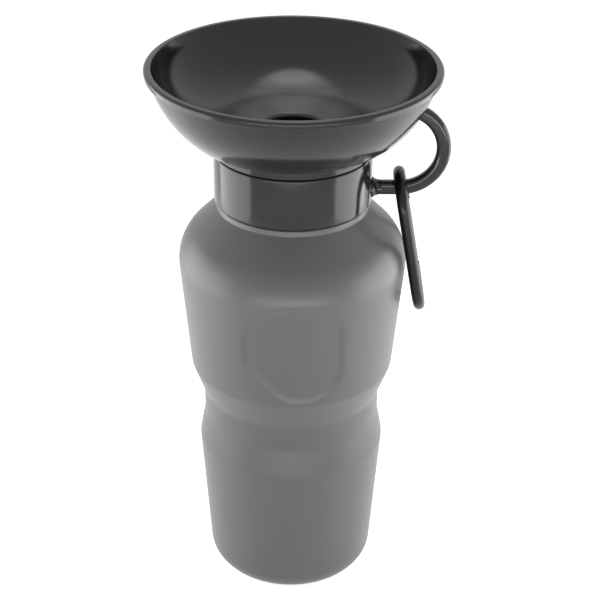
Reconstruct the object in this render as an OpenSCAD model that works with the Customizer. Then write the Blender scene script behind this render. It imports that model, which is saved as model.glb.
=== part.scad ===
// Squeeze bottle with a drinking bowl on a screw collar, a carry loop and a spring-gate ring.
// Millimetres, +Z up, origin at the centre of the face that the bottle stands on.

/* [Bottle] */
// Radius where the tapered side would meet the floor
foot_r = 33.8; // [30:0.1:36]
// Rounding between the side and the foot
foot_round = 10; // [4:0.5:12]
// Inner radius of the ring that the bottle stands on
rest_r = 20.5; // [14:0.5:22]
// Height of the push-up under the base
push_up = 3.5; // [1.5:0.5:6]
// Radius of the lower body where it breaks inwards
belly_r = 38.2; // [36:0.1:40]
// Height of the belly
belly_z = 62.5; // [58:0.5:66]
// Radius of the grip waist
waist_r = 36; // [33:0.1:36.2]
// Height of the lower end of the waist
waist_z = 74.5; // [72:0.5:78]
// Length of the waist
waist_len = 11; // [9:0.5:15]
// Radius of the upper body where it starts above the waist
chest_r = 41.1; // [39:0.1:42.5]
// Height of the start of the upper body
chest_z = 99; // [97:0.5:104]
// Radius of the upper body at the shoulder
shoulder_r = 45.9; // [43.5:0.1:46.2]
// Height of the shoulder corner
shoulder_z = 152; // [146:0.1:153]
// Rounding of the shoulder
shoulder_round = 20; // [10:1:24]
// How far the bead under the collar stands in from the collar's outside
throat_in = 0.9; // [0:0.1:2]
// Height of that bead
bead_h = 2.3; // [1:0.1:3]
// Height of the neck's root
neck_root_z = 170.2; // [166:0.1:172]
// Height of the neck above its root
neck_h = 10.4; // [10:0.1:15]
// Outer radius of the neck
neck_r = 26.4; // [25:0.1:26.8]
// Wall of the neck
neck_wall = 2; // [1.4:0.1:2.6]
// Wall of the body
bottle_wall = 1.6; // [1.2:0.1:2.2]

/* [Thumb recess] */
// Depth of the recess in the front of the body
recess_depth = 0.9; // [0.6:0.1:2]
// Width of the recess
recess_w = 40.6; // [30:0.1:46]
// Height of the recess
recess_h = 46; // [34:0.1:50]
// Height of the middle of the recess
recess_z = 122; // [118:0.5:126]

/* [Screw thread] */
// Rise for each turn
thread_pitch = 4; // [3:0.25:4.5]
// Turns of thread
thread_turns = 1.5; // [1:0.25:1.5]
// Height of each ridge
thread_depth = 0.8; // [0.5:0.1:0.9]
// Width of a ridge at its root
thread_w = 1.7; // [1.2:0.1:2]

/* [Collar] */
// Wall of the collar
collar_wall = 2.5; // [1.8:0.1:3]
// Height of bare shoulder between the neck's root and the collar
collar_gap = 0.5; // [0.3:0.1:1]
// Width of the ledge that presses the insert down
ledge_w = 0.6; // [0.5:0.1:1]
// Rounding of the bottom edge
collar_edge = 0.8; // [0.4:0.1:2]
// Thickness of the flange round the bowl's neck
flange_t = 2; // [1.4:0.1:3]

/* [Bowl] */
// Outside radius of the rim
rim_r = 56.5; // [54:0.1:60]
// Height of the rim above the collar
bowl_h = 33.9; // [31:0.1:40]
// Width of the flat on the rim
lip_w = 2.8; // [2:0.1:4]
// Height of the band outside the rim
lip_h = 2.6; // [1.6:0.1:3.4]
// Wall of the bowl
bowl_wall = 2.2; // [1.6:0.1:2.8]
// Wall of the bowl's neck
bowl_neck_wall = 2; // [1.8:0.1:2.4]
// Height of bare neck between the collar and the bowl
neck_show = 4.9; // [4:0.1:8]
// Radius where the underside turns up into the wall
turn_r = 39; // [36:0.5:42]
// Rounding between the floor and the wall inside the bowl
floor_round = 50; // [6:1:60]
// Rise of the bowl's floor from the drain to the wall
floor_rise = 3.9; // [1:0.1:4.5]
// How far the skirt under the bowl stands in from the collar's side
skirt_in = 0; // [0:0.1:3]
// Radius of the drain well
drain_r = 12; // [10:0.5:14]
// Wall of the drain well
well_wall = 2; // [1.4:0.1:2.6]
// Depth of the valve seat under the bowl's underside
well_drop = 6.6; // [6:0.1:8]
// Thickness of the valve seat
seat_t = 1.6; // [1.2:0.1:2.4]
// Radius of the hole in the valve seat
seat_r = 7.4; // [6:0.1:8]
// How far the bowl rises when it is twisted open
bowl_lift = 1.5; // [1:0.1:2]
// Twist that opens the valve
bowl_twist = 90; // [60:5:95]

/* [Valve insert] */
// Thickness of the insert's deck
deck_t = 2; // [1.6:0.1:2.6]
// Thickness of the flat gasket under the deck
gasket_t = 1.4; // [1:0.1:2]
// How far the gasket reaches out past the bottle's neck
gasket_lap = 0.4; // [0.1:0.1:0.5]
// Section of the sealing ring in the bowl's neck
o_ring_d = 1.7; // [1.4:0.1:1.9]
// Thickness of the ring that holds the bowl down
retainer_t = 1.7; // [1.2:0.1:2.2]
// Width of that ring
retainer_w = 1.4; // [1:0.1:1.8]
// Space between the cup and the bowl's neck
cup_gap = 0.8; // [0.6:0.1:1.2]
// Thickness of the plug's flange
plug_t = 1.7; // [1.2:0.1:2.4]
// How far the plug's flange reaches past the seat's hole
plug_lap = 1.4; // [1:0.1:2]
// Height of the plug's dome above its flange
plug_dome = 2.4; // [1.6:0.1:3]
// Thickness of the disc under the plug
disc_t = 1.4; // [1:0.1:2]
// Radius of the pillars under the disc
pillar_r = 1.2; // [0.9:0.1:1.6]
// Wall of the cup that stands on the deck
cup_wall = 2.4; // [1.6:0.1:3]
// Length of the spigot that grips the tube
spigot_l = 10; // [6:0.5:14]
// Wall of the spigot
spigot_wall = 1.2; // [1:0.1:2]

/* [Dip tube] */
// Outer radius of the tube
tube_r = 4; // [3:0.1:5]
// Wall of the tube
tube_wall = 1; // [0.6:0.1:1.4]
// Space between the tube and the bottle's floor
tube_gap = 2.5; // [1.5:0.5:8]
// Slant of the tube's foot
tube_slant = 35; // [20:5:45]

/* [Carry loop] */
// Radius of the boss where it leaves the collar
boss_r = 4.2; // [3.5:0.1:6]
// Radius of the loop's centre line
loop_r = 16.4; // [14:0.1:18]
// Height of the stem above the collar's bottom edge
stem_z = 4.3; // [4:0.1:8]
// Length of the boss that carries the stem
boss_l = 3.8; // [3:0.1:6]
// Length of the straight stem
stem_l = 7; // [6.4:0.1:10]
// Thickness of the loop in its own plane
loop_t = 5.6; // [4.4:0.1:6.4]
// Width of the loop
loop_w = 4.6; // [3.6:0.1:6]
// Rounding of the loop's edges
loop_round = 1.8; // [0.6:0.1:2]

/* [Spring-gate ring] */
// Diameter of the ring's rod
rod_d = 4.6; // [3.6:0.1:5]
// Radius of the ring's two ends, at the rod's centre
bow_r = 11.5; // [10:0.1:13]
// Length of the ring's straight sides
side_l = 34; // [30:0.1:40]
// Angle at which the ring leans outwards
lean = 10.3; // [8:0.1:14]
// Turn of the ring about its own length, the gate's side outwards
ring_yaw = 1; // [-2:0.5:4]
// Distance from the boss to the middle of the rod on the stem
ring_out = 6.6; // [5:0.1:7]
// Diameter of the gate
gate_d = 4.2; // [3.6:0.1:4.6]
// Thickness of the flat tang and nose
tang_t = 1.8; // [1.2:0.1:2.2]
// Diameter of the gate's rivet
rivet_d = 1.5; // [1:0.1:1.8]
// Diameter of the latch pin
latch_d = 1.2; // [0.8:0.1:1.6]
// Distance from the end of the ring's straight side to the rivet
rivet_in = 3.7; // [3.4:0.1:5]
// Distance from the other end to the latch pin
latch_in = 3.4; // [3:0.1:4.5]
// Radius of the plunger in the gate
plunger_r = 1; // [0.8:0.05:1.1]
// Length of the plunger's head
plunger_l = 2.2; // [1.8:0.1:3]
// How far the plunger is pushed in by the opening gate
plunger_travel = 0.6; // [0.6:0.1:1]
// Length of the gate's spring when it is pressed
spring_l = 7; // [5:0.5:10]

/* [Clearances] */
// Gap between parts that move past each other
gap = 0.3; // [0.2:0.05:0.4]
// Gap of a sliding fit
fit = 0.1; // [0.05:0.01:0.1]

/* [Hidden] */
$fn = 96;
arc_step = 9;        // degrees between the points of a rounded corner
skin = 0.2;          // how far joined shapes reach into each other

// Heights of the lid, worked up from the neck
neck_top = neck_root_z + neck_h;
deck_z = neck_top + gasket_t;
deck_top = deck_z + deck_t;
retainer_z = deck_top + bowl_lift + gap;
retainer_top = retainer_z + retainer_t;
flange_z = retainer_top + bowl_lift + gap;
collar_top = flange_z + flange_t;
collar_z = neck_root_z + collar_gap;
underside_z = collar_top + neck_show;
rim_z = collar_top + bowl_h;

// Radii of the lid, worked out from the bottle's neck and then in from the collar
collar_bore_r = neck_r + 2 * thread_depth + gap;
collar_r = collar_bore_r + collar_wall;
throat_r = collar_r - throat_in;
ledge_r = collar_bore_r - ledge_w;
deck_r = collar_bore_r - gap;
retainer_r = ledge_r - gap;
bowl_neck_r = retainer_r - retainer_w;
flange_r = bowl_neck_r + gap;
neck_in_r = bowl_neck_r - bowl_neck_wall;
cup_r = neck_in_r - cup_gap;
gland_r = cup_r + fit + o_ring_d + fit / 2;
gland_z = retainer_z + 1;
cup_top = gland_z + o_ring_d + bowl_lift + 1.4;
well_z = underside_z - well_drop;
seat_top = well_z + seat_t;

// Heights of the plug, worked down from the seat
plug_top = well_z - gap;
plug_z = plug_top - plug_t;
disc_z = plug_z - disc_t;

// The outline of the body, from the axis under the base to the neck: [radius, height, rounding]
body_line = [
    [0, push_up, 0],
    [rest_r - 5, push_up, 6],
    [rest_r, 0, 1.5],
    [foot_r, 0, foot_round],
    [belly_r, belly_z, 9],
    [waist_r, waist_z, 8],
    [waist_r + 0.1, waist_z + waist_len, 7],
    [chest_r, chest_z, 6.5],
    [shoulder_r, shoulder_z, shoulder_round],
    [throat_r, neck_root_z - bead_h, 0.6],
    [throat_r, neck_root_z, 0.7],
    [neck_r, neck_root_z, 0]];

// ---- Geometry helpers ----

function unit(v) = v / norm(v);
function xy(p) = [p[0], p[1]];
function half_angle(a, b, c) = acos(max(-1, min(1, unit(a - b) * unit(c - b)))) / 2;
function wrap(points, i) = points[(i + len(points)) % len(points)];

// Distance from corner i to where its rounding starts
function tangent(points, i) =
    wrap(points, i)[2]
    / tan(half_angle(xy(wrap(points, i - 1)), xy(wrap(points, i)), xy(wrap(points, i + 1))));

// Length that corner i may use of the side towards corner j
function room(points, i, j) =
    let (side = norm(xy(wrap(points, i)) - xy(wrap(points, j))))
    max(side / 2, side - tangent(points, j));

// The points of one corner, rounded as far as its two sides allow
function corner(points, i) =
    let (a = xy(wrap(points, i - 1)), b = xy(wrap(points, i)), c = xy(wrap(points, i + 1)),
         half = half_angle(a, b, c),
         run = min(tangent(points, i), room(points, i, i - 1), room(points, i, i + 1)),
         r = run * tan(half),
         u = unit(a - b), v = unit(c - b),
         mid = b + unit(u + v) * r / sin(half),
         p = b + u * run - mid, q = b + v * run - mid,
         start = atan2(p[1], p[0]),
         turn = atan2(p[0] * q[1] - p[1] * q[0], p * q),
         n = max(1, ceil(abs(turn) / arc_step)))
    wrap(points, i)[2] <= 0 ? [b]
    : [for (k = [0:n]) mid + r * [cos(start + turn * k / n), sin(start + turn * k / n)]];

// A closed outline with every corner rounded
function rounded(points) = [for (i = [0:len(points) - 1]) each corner(points, i)];

// Corner i of an outline moved inwards by d; the outline runs anticlockwise
function inset_corner(points, i, d) =
    let (a = xy(points[i - 1]), b = xy(points[i]), c = xy(points[min(i + 1, len(points) - 1)]),
         e = unit(b - a), f = i + 1 < len(points) ? unit(c - b) : e,
         m = [-e[1], e[0]], n = [-f[1], f[0]],
         turn = e[0] * f[1] - e[1] * f[0],
         at = b + d * (m + n) / (1 + m * n),
         r = points[i][2])
    [at[0], at[1], r <= 0 ? 0 : max(0.3, turn > 0 ? r - d : r + d)];

// An outline from the axis, moved inwards by d
function inset(points, d) = concat(
    [[0, points[0][1] + d, 0]],
    [for (i = [1:len(points) - 1]) inset_corner(points, i, d)]);

module revolve(points) {
    rotate_extrude() polygon(rounded(points));
}

// The body's outline moved inwards by d, as a full solid up to the neck's root
module body_form(d) {
    line = inset(body_line, d);
    revolve(concat(line, [[0, line[len(line) - 1][1], 0]]));
}

// Plan of the thumb recess, grown by d: a rounded shape with five corners
module recess_plan(d) {
    w = recess_w / 2;
    h = recess_h / 2;
    corners = [
        [-w, 0.2 * h, 10], [0.2 * w, -h, 11], [w, -0.75 * h, 11], [w, h, 11], [-0.5 * w, h, 16]];
    centre = [0, 0];
    polygon(rounded([for (c = corners)
        let (out = unit(xy(c) - centre)) [c[0] + d * out[0], c[1] + d * out[1], c[2] + d]]));
}

// The recess as a block in front of the body, grown by d and as deep as the skin at depth
module recess_block(d, depth) {
    difference() {
        translate([0, -neck_r / 2, recess_z])
            rotate([90, 0, 0])
                linear_extrude(2 * shoulder_r) recess_plan(d);
        body_form(depth);
    }
}

// A helical ridge on radius r, its crest at crest_r, from height z
module thread_ridge(r, crest_r, z) {
    steps = 24;
    count = round(thread_turns * steps);
    base = r - sign(crest_r - r) * skin;
    crest_w = thread_w * 0.45;
    section = [
        [base, -thread_w / 2], [crest_r, -crest_w / 2], [crest_r, crest_w / 2], [base, thread_w / 2]];
    turn = sign(crest_r - r);
    points = [for (i = [0:count])
        let (a = 360 * i / steps, up = z + thread_pitch * i / steps,
             fade = min(1, min(i, count - i) / 2))
        each [for (s = section)
            let (radius = base + (s[0] - base) * max(fade, 0.05))
            [radius * cos(a), radius * sin(a), up + s[1]]]];
    sides = [for (i = [0:count - 1], k = [0:3])
        [4 * i + k, 4 * i + (k + 1) % 4, 4 * (i + 1) + (k + 1) % 4, 4 * (i + 1) + k]];
    faces = concat([[3, 2, 1, 0]], sides, [[for (k = [0:3]) 4 * count + k]]);
    polyhedron(points, turn > 0 ? faces : [for (f = faces) [for (k = [len(f) - 1:-1:0]) f[k]]]);
}

// ---- Bottle ----

module bottle() {
    color("#8c8c8c")
        difference() {
            union() {
                body_form(0);
                translate([0, 0, neck_root_z - skin]) cylinder(neck_h + skin, r = neck_r);
                thread_ridge(neck_r, neck_r + thread_depth, neck_root_z + 3);
            }
            difference() {
                body_form(bottle_wall);
                recess_block(bottle_wall, bottle_wall + recess_depth);
            }
            translate([0, 0, neck_root_z - 2 * bottle_wall])
                cylinder(neck_h + 3 * bottle_wall, r = neck_r - neck_wall);
            recess_block(0, recess_depth);
        }
}

// ---- Seals, insert and tube ----

module neck_gasket() {
    color("#d8d8d4")
        translate([0, 0, neck_top])
            difference() {
                cylinder(gasket_t, r = neck_r + gasket_lap);
                translate([0, 0, -1]) cylinder(gasket_t + 2, r = neck_r - neck_wall - gasket_lap);
            }
}

// One of the three slopes that raise the bowl as it is twisted
module lift_ramp() {
    steps = 10;
    start = 3;
    in_r = bowl_neck_r - 0.2;
    out_r = retainer_r;
    points = [for (i = [0:steps])
        let (a = start + bowl_twist * i / steps, top = deck_top + bowl_lift * i / steps)
        each [
            [in_r * cos(a), in_r * sin(a), deck_top - skin],
            [out_r * cos(a), out_r * sin(a), deck_top - skin],
            [out_r * cos(a), out_r * sin(a), top + 0.01],
            [in_r * cos(a), in_r * sin(a), top + 0.01]]];
    sides = [for (i = [0:steps - 1], k = [0:3])
        [4 * i + k, 4 * i + (k + 1) % 4, 4 * (i + 1) + (k + 1) % 4, 4 * (i + 1) + k]];
    polyhedron(points, concat([[3, 2, 1, 0]], sides, [[for (k = [0:3]) 4 * steps + k]]));
}

post_r = tube_r / 2;
disc_r = 1.5 * tube_r;

module valve_insert() {
    bore_r = tube_r - tube_wall;
    spigot_r = tube_r + spigot_wall;
    color("#55585a") {
        difference() {
            union() {
                translate([0, 0, deck_z]) cylinder(deck_t, r = deck_r);
                translate([0, 0, deck_top - skin])
                    difference() {
                        cylinder(cup_top - deck_top + skin, r = cup_r);
                        translate([0, 0, -1])
                            cylinder(cup_top - deck_top + 2, r = cup_r - cup_wall);
                    }
                translate([0, 0, deck_z - spigot_l]) cylinder(spigot_l + skin, r = spigot_r);
            }
            translate([0, 0, deck_z - spigot_l - 1]) cylinder(spigot_l + 1, r = tube_r);
            translate([0, 0, deck_z - 1]) cylinder(deck_t + 2, r = bore_r);
        }
        // Pillars round the water's way carry a disc and the post of the plug
        for (a = [45:90:315])
            rotate(a)
                translate([bore_r + pillar_r + 0.5, 0, deck_top - skin])
                    cylinder(disc_z - deck_top + 2 * skin, r = pillar_r);
        translate([0, 0, disc_z]) cylinder(disc_t, r = disc_r);
        translate([0, 0, disc_z]) cylinder(plug_top - disc_z, r = post_r);
        for (a = [0:120:240]) rotate(a) lift_ramp();
    }
}

module valve_plug() {
    wide_r = seat_r + plug_lap;
    spigot_top_r = seat_r - gap;
    color("#2c2c2c")
        revolve([
            [post_r, plug_z, 0], [wide_r, plug_z, 0.4], [wide_r, plug_top, 0.4],
            [spigot_top_r, plug_top, 0], [spigot_top_r, plug_top + 0.65 * plug_dome, 0.8],
            [0, plug_top + plug_dome, 0], [0, plug_top, 0], [post_r, plug_top, 0]]);
}

module dip_tube() {
    foot_z = push_up + bottle_wall + tube_gap;
    top_z = deck_z;
    color("#d9dadb")
        difference() {
            translate([0, 0, foot_z]) cylinder(top_z - foot_z, r = tube_r);
            translate([0, 0, foot_z - 1]) cylinder(top_z - foot_z + 2, r = tube_r - tube_wall);
            // The foot is cut on a slant so that it can't seal against the floor
            translate([0, 0, foot_z])
                rotate([0, tube_slant, 0])
                    translate([-4 * tube_r, -4 * tube_r, -8 * tube_r]) cube(8 * tube_r);
        }
}

// ---- Collar and loop ----

stem_height = collar_z + stem_z;
boss_end = collar_r + boss_l;
tenon_r = 1.5;
tenon_l = 3;

module collar_boss() {
    translate([0, 0, stem_height])
        rotate([0, 90, 0])
            revolve([
                [0, collar_r - collar_wall / 2, 0], [boss_r, collar_r - collar_wall / 2, 0],
                [boss_r, collar_r + 0.2, 0.3], [loop_t / 2 + 0.15, collar_r + 0.45 * boss_l, 4],
                [loop_t / 2 + 0.15, boss_end, 0.3],
                [0, boss_end, 0]]);
}

module collar() {
    color("#4a4b4d")
        difference() {
            union() {
                revolve([
                    [collar_bore_r, collar_z, 0.4], [collar_r, collar_z, collar_edge],
                    [collar_r, collar_top, 0.8], [flange_r, collar_top, 0.6],
                    [flange_r, flange_z, 0], [ledge_r, flange_z, 0],
                    [ledge_r, deck_top + fit, 0], [collar_bore_r, deck_top + fit, 0]]);
                collar_boss();
                rotate(180)
                    thread_ridge(collar_bore_r, collar_bore_r - thread_depth, neck_root_z + 3);
            }
            translate([boss_end - tenon_l, 0, stem_height])
                rotate([0, 90, 0]) cylinder(tenon_l + 1, r = tenon_r);
        }
}

// Section of the loop: a rounded rectangle
module loop_section() {
    t = loop_t / 2;
    w = loop_w / 2;
    polygon(rounded([
        [-t, -w, loop_round], [t, -w, loop_round], [t, w, loop_round], [-t, w, loop_round]]));
}

module carry_loop() {
    turn_x = boss_end + stem_l;
    color("#2f3032")
        difference() {
            union() {
                translate([boss_end, 0, stem_height])
                    rotate([0, 90, 0]) linear_extrude(stem_l + skin) loop_section();
                translate([turn_x, 0, stem_height + loop_r])
                    rotate([90, 0, 0])
                        rotate(-90)
                            rotate_extrude(angle = 176) translate([loop_r, 0]) loop_section();
                translate([boss_end - tenon_l + fit, 0, stem_height])
                    rotate([0, 90, 0]) cylinder(tenon_l, r = tenon_r);
            }
            // The free end follows the bowl's wall, a gap away from it
            bowl_envelope(gap);
        }
}

// ---- Bowl ----

wall_mid = [rim_r - 6, underside_z + 12.1];
lip_z = rim_z - lip_h;

// Corners of the bowl's outer wall, from the neck up to the lip
function bowl_outer(d) = [
    [turn_r + d * 0.4, underside_z + 1.7 - d, 6],
    [wall_mid[0] + 0.8 * d, wall_mid[1] - 0.6 * d, 43],
    [rim_r - 1.7 + d, lip_z - 0.2, 1]];

// The room that the bowl takes, grown by d
module bowl_envelope(d) {
    revolve(concat(
        [[0, underside_z - d, 0], [bowl_neck_r, underside_z - d, 0]],
        bowl_outer(d),
        [[rim_r + d, lip_z - d, 0], [rim_r + d, rim_z + 10, 0], [0, rim_z + 10, 0]]));
}

module bowl() {
    floor_r = turn_r - 3;
    drain_z = underside_z + 1.7 + bowl_wall;
    skirt_r = collar_r - skirt_in;
    skirt_z = collar_top + gap;
    color("#3d3e40")
        revolve(concat(
            [[neck_in_r, retainer_z, 0.3], [bowl_neck_r, retainer_z, 0.3],
             [bowl_neck_r, skirt_z, 0], [skirt_r, skirt_z, 0.4],
             [skirt_r, underside_z, 1.6]],
            bowl_outer(0),
            [[rim_r - 0.2, lip_z, 0.3], [rim_r, rim_z, 1.1], [rim_r - lip_w, rim_z, 0.5],
             [rim_r - 1.9 - bowl_wall, lip_z - 1.2, 2],
             [wall_mid[0] - 0.32 * bowl_wall, wall_mid[1] + 2.2 * bowl_wall, 30],
             [floor_r, drain_z + floor_rise, floor_round], [drain_r + 0.2, drain_z, 1.6],
             [drain_r - 0.4, seat_top + 0.3, 1], [seat_r, seat_top, 0.4], [seat_r, well_z, 0.3],
             [drain_r + well_wall, well_z, 0.8], [drain_r + well_wall, underside_z + 0.4, 1],
             [neck_in_r, underside_z + 0.8, 1.2],
             [neck_in_r, gland_z + o_ring_d + fit, 0], [gland_r, gland_z + o_ring_d + fit, 0],
             [gland_r, gland_z - fit, 0], [neck_in_r, gland_z - fit, 0]]));
}

module bowl_o_ring() {
    r = o_ring_d / 2;
    color("#1c1c1c")
        translate([0, 0, gland_z + r])
            rotate_extrude() translate([cup_r + fit + r, 0]) circle(r);
}

module bowl_retainer() {
    foot_angle = 5;
    color("#55585a") {
        translate([0, 0, retainer_z])
            difference() {
                cylinder(retainer_t, r = retainer_r);
                translate([0, 0, -1]) cylinder(retainer_t + 2, r = bowl_neck_r);
            }
        // Feet that ride on the ramps
        for (a = [0:120:240])
            rotate(a - foot_angle / 2)
                translate([0, 0, retainer_z - bowl_lift])
                    rotate_extrude(angle = foot_angle)
                        translate([bowl_neck_r + 0.15, 0])
                            square([retainer_r - bowl_neck_r - 0.3, bowl_lift + skin]);
    }
}

// ---- Spring-gate ring ----

rod_r = rod_d / 2;
gate_r = gate_d / 2;
ring_x = boss_end + ring_out;
ring_z = stem_height + loop_t / 2 + gap + rod_r / cos(lean) + 0.1;
rivet_y = -bow_r - rivet_in;
latch_y = -bow_r - side_l + latch_in;
tang_drop = 1.3;
plunger_y = rivet_y - tang_drop - fit - plunger_travel;
spring_y = plunger_y - plunger_l - fit;

// Places children with x across the ring, y up along it and z through it
module in_ring() {
    translate([ring_x, 0, ring_z])
        rotate([0, -lean, 0]) rotate([90, 0, 90]) rotate([0, -ring_yaw, 0]) children();
}

module bow(y, start) {
    translate([0, y, 0])
        rotate(start) rotate_extrude(angle = 180) translate([bow_r, 0]) circle(rod_r);
}

module upright(x, y, length, r) {
    translate([x, y, 0]) rotate([90, 0, 0]) cylinder(length, r = r);
}

module ring_frame() {
    color("#1b1b1c")
        in_ring()
            difference() {
                union() {
                    bow(-bow_r, 0);
                    bow(-bow_r - side_l, 180);
                    upright(-bow_r, -bow_r, side_l, rod_r);
                    // Flat tang for the rivet
                    translate([bow_r - 1.7, rivet_y - tang_drop, -tang_t / 2])
                        cube([3.4, -bow_r - rivet_y + tang_drop + skin, tang_t]);
                    // Flat nose that the latch pin hooks into
                    translate([bow_r - 1.5, -bow_r - side_l - skin, -tang_t / 2])
                        cube([3.3, latch_y + bow_r + side_l + 1.6 + skin, tang_t]);
                }
                translate([bow_r, rivet_y, -rod_d]) cylinder(2 * rod_d, r = rivet_d / 2 + 0.05);
                translate([bow_r - 2, latch_y - latch_d / 2 - gap, -tang_t])
                    cube([2 + latch_d / 2 + gap, latch_d + 2 * gap, 2 * tang_t]);
            }
}

module ring_gate() {
    slot = tang_t + 2 * gap;
    top = -bow_r - 1.2;
    bottom = -bow_r - side_l + 1.2;
    color("#1b1b1c")
        in_ring()
            difference() {
                upright(bow_r, top, top - bottom, gate_r);
                translate([bow_r - gate_d, rivet_y - tang_drop - 1.1, -slot / 2])
                    cube([2 * gate_d, 8, slot]);
                translate([bow_r - gate_d, bottom - 1, -slot / 2])
                    cube([2 * gate_d, latch_y + 2.4 - bottom + 1, slot]);
                translate([bow_r, rivet_y, -gate_d]) cylinder(2 * gate_d, r = rivet_d / 2);
                translate([bow_r, latch_y, -gate_d]) cylinder(2 * gate_d, r = latch_d / 2);
                upright(bow_r, plunger_y + 2, plunger_y + 2 - spring_y + spring_l, plunger_r + fit);
            }
}

module gate_rivet() {
    head = 0.5;
    color("#8e8e90")
        in_ring() {
            translate([bow_r, rivet_y, -gate_r - head]) cylinder(gate_d + 2 * head, r = rivet_d / 2);
            for (s = [-1, 1])
                translate([bow_r, rivet_y, s * (gate_r + head / 2) - head / 2])
                    cylinder(head, r = rivet_d / 2 + 0.5);
        }
}

module latch_pin() {
    color("#8e8e90")
        in_ring()
            translate([bow_r, latch_y, -gate_r + 0.1]) cylinder(gate_d - 0.2, r = latch_d / 2);
}

module gate_plunger() {
    tail = 2;
    color("#8e8e90")
        in_ring() {
            upright(bow_r, plunger_y, plunger_l, plunger_r);
            upright(bow_r, plunger_y - plunger_l + skin, tail, plunger_r / 2);
        }
}

module gate_spring() {
    color("#8e8e90")
        in_ring()
            difference() {
                upright(bow_r, spring_y, spring_l, plunger_r);
                upright(bow_r, spring_y + 1, spring_l + 2, plunger_r - 0.35);
            }
}

bottle();
neck_gasket();
valve_insert();
valve_plug();
dip_tube();
collar();
carry_loop();
bowl();
bowl_o_ring();
bowl_retainer();
ring_frame();
ring_gate();
gate_rivet();
latch_pin();
gate_plunger();
gate_spring();
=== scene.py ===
"""Looks of a dog travel water bottle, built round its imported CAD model.

The bottle stands on its base with +Z up, its carry loop towards +X and its thumb recess towards -Y.
Outlines are written in millimetres, as on a drawing, and become metres when a mesh is made.
"""

import logging
import math
from collections.abc import Sequence
from dataclasses import dataclass, field
from enum import Enum

import bmesh
import bpy
import numpy as np
from mathutils import Matrix, Vector

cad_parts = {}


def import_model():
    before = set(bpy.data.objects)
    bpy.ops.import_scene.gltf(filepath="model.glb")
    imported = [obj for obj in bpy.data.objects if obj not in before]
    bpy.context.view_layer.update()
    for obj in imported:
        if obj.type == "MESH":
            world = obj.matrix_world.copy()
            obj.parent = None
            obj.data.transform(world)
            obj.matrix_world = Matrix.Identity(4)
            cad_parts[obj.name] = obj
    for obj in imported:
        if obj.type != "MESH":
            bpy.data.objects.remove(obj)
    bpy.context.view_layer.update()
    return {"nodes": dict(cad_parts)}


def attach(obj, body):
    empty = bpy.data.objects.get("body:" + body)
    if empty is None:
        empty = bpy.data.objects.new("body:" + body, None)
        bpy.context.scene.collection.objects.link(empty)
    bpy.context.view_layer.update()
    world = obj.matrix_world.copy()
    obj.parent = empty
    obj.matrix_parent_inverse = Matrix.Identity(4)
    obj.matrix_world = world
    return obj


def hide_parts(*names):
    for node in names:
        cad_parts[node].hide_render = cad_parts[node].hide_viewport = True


LOG = logging.getLogger("travel_bottle")
MM = 0.001  # metres in a millimetre
TURN = 2.0 * math.pi  # radians in a full turn
TOUCH = 0.01  # millimetres within which a point counts as on a radius
WHITE = (1.0, 1.0, 1.0, 1.0)

Array = np.ndarray
Triple = tuple[float, float, float]
Colour = Triple
Corner = Triple  # across, up and the radius of its rounding
Place = Triple


# ---------------------------------------------------------------- outlines


def unit(v: Array) -> Array:
    """Returns v at length 1."""
    return v / np.linalg.norm(v)


def half_angle(a: Array, b: Array, c: Array) -> float:
    """Returns half the angle at b between the sides towards a and c."""
    return 0.5 * math.acos(float(np.clip(unit(a - b) @ unit(c - b), -1.0, 1.0)))


def rounded(corners: Sequence[Corner], closed: bool, arc_step: float = 6.0) -> Array:
    """Rounds each corner of an outline with an arc that touches both of its sides.

    A corner of radius R and half angle h uses R / tan(h) of each side. Where two corners ask
    for more than a side has, each keeps at least half of it and its radius shrinks to suit.

    Args:
        corners: (radius from the axis, height, rounding) of each corner.
        closed: whether the last corner joins the first.
        arc_step: the largest turn between two points of an arc, in degrees.

    Returns:
        The points of the outline, one row each.
    """
    p = np.array(corners, float)
    n = len(p)
    ends = set() if closed else {0, n - 1}
    turns = [i for i in range(n) if i not in ends]
    half = {i: half_angle(p[i - 1, :2], p[i, :2], p[(i + 1) % n, :2]) for i in turns}
    reach = [p[i, 2] / math.tan(half[i]) if i in half else 0.0 for i in range(n)]
    out: list[Array] = []
    for i in range(n):
        if i in ends or p[i, 2] <= 0.0:
            out.append(p[i : i + 1, :2])
            continue
        b = p[i, :2]
        run = reach[i]
        for j in (i - 1, (i + 1) % n):
            side = float(np.linalg.norm(p[j, :2] - b))
            run = min(run, max(side / 2, side - reach[j]))
        u, v = unit(p[i - 1, :2] - b), unit(p[(i + 1) % n, :2] - b)
        r = run * math.tan(half[i])
        middle = b + unit(u + v) * r / math.sin(half[i])
        first, last = b + u * run - middle, b + v * run - middle
        start = math.atan2(first[1], first[0])
        turn = math.atan2(first[0] * last[1] - first[1] * last[0], float(first @ last))
        parts = max(1, math.ceil(math.degrees(abs(turn)) / arc_step))
        a = start + turn * np.linspace(0.0, 1.0, 1 + parts)
        out.append(middle + r * np.stack([np.cos(a), np.sin(a)], axis=1))
    return np.concatenate(out)


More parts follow.
